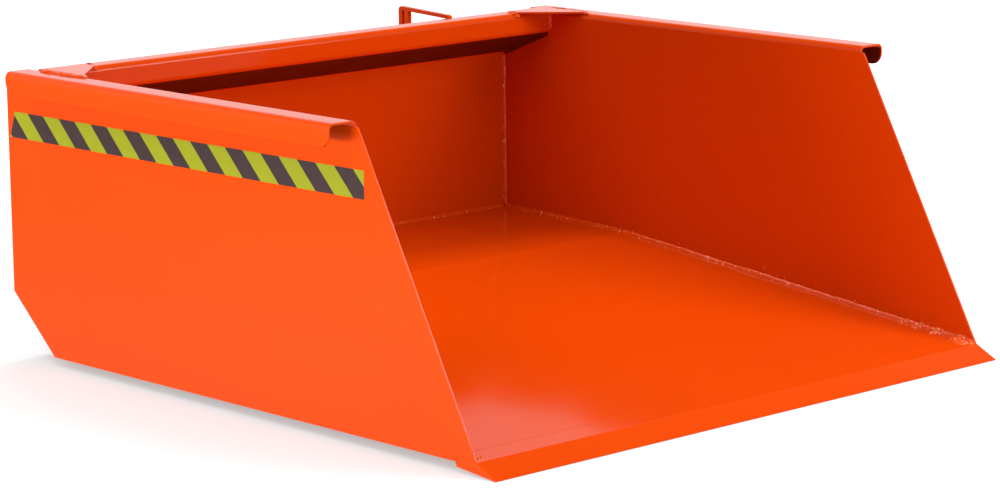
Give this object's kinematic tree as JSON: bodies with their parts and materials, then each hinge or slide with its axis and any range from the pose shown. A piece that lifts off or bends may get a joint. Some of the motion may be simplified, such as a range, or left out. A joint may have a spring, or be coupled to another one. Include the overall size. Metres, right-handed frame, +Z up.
{
  "type": "tipping forklift bucket",
  "caption": "Wide open scoop folded from sheet with flanged rims and a bevelled blade, hinged on a low carrier of fork pockets, with a hook latch whose looped handle stands behind the rear wall.",
  "frame": {"origin": "middle of the footprint on the ground under the blade and the fork pockets", "axes": "+X across the bucket to the right as seen by the driver behind it, +Y from the mouth back to the truck, +Z up"},
  "size_m": [1.408, 1.4551, 0.5813],
  "materials": {
    "orange_paint": "semi-gloss powder coat",
    "zinc_plated": "bright zinc plated",
    "bronze": "plain machined",
    "black_rubber": "matt",
    "warning_tape": "satin film with dark slanted stripes"
  },
  "bodies": {
    "carrier": {"fork_pocket_left": "orange_paint", "fork_pocket_right": "orange_paint", "front_tie_tube": "orange_paint", "rear_tie_tube": "orange_paint", "support_beam": "orange_paint", "rest_pads": "black_rubber", "hinge_ears_left": "orange_paint", "hinge_ears_right": "orange_paint", "hinge_pin_left": "zinc_plated", "hinge_pin_right": "zinc_plated", "keeper_bolts": "zinc_plated", "latch_post": "orange_paint", "post_foot": "orange_paint", "catch_bar": "zinc_plated", "clamp_nuts": "zinc_plated"},
    "bucket": {"side_plate_left": "orange_paint", "side_plate_right": "orange_paint", "rear_wall": "orange_paint", "floor_sheet": "orange_paint", "blade": "orange_paint", "gusset_left": "orange_paint", "gusset_right": "orange_paint", "warning_tape_left": "warning_tape", "warning_tape_right": "warning_tape", "runner_rib_left": "orange_paint", "runner_rib_right": "orange_paint", "hinge_lug_left": "orange_paint", "hinge_lug_right": "orange_paint", "hinge_bush_left": "bronze", "hinge_bush_right": "bronze", "latch_pivot_ears": "orange_paint", "latch_pivot_pin": "zinc_plated", "spring_seat": "orange_paint", "latch_spring": "zinc_plated"},
    "latch_lever": {"hook_plate": "orange_paint", "latch_handle": "orange_paint"},
    "clamp_left": {"clamp_screw_left": "zinc_plated", "tommy_bar_left": "zinc_plated"},
    "clamp_right": {"clamp_screw_right": "zinc_plated", "tommy_bar_right": "zinc_plated"}
  },
  "joints": [
    {"name": "bucket_tip", "type": "hinge", "parent": "carrier", "child": "bucket", "pos_m": [0, -0.01252, 0.045], "axis": [1, 0, 0], "range_deg": [0, 45]},
    {"name": "latch_pivot", "type": "hinge", "parent": "bucket", "child": "latch_lever", "pos_m": [0.41, 0.5675, 0.523], "axis": [1, 0, 0], "range_deg": [-6, 4.5], "stiffness_Nm_per_rad": 6, "springref_deg": 5.27, "deforming": ["latch_spring"]},
    {"name": "clamp_left_slide", "type": "slide", "parent": "carrier", "child": "clamp_left", "axis": [1, 0, 0], "range_m": [0, 0.02]},
    {"name": "clamp_right_slide", "type": "slide", "parent": "carrier", "child": "clamp_right", "axis": [-1, 0, 0], "range_m": [0, 0.02]}
  ]
}
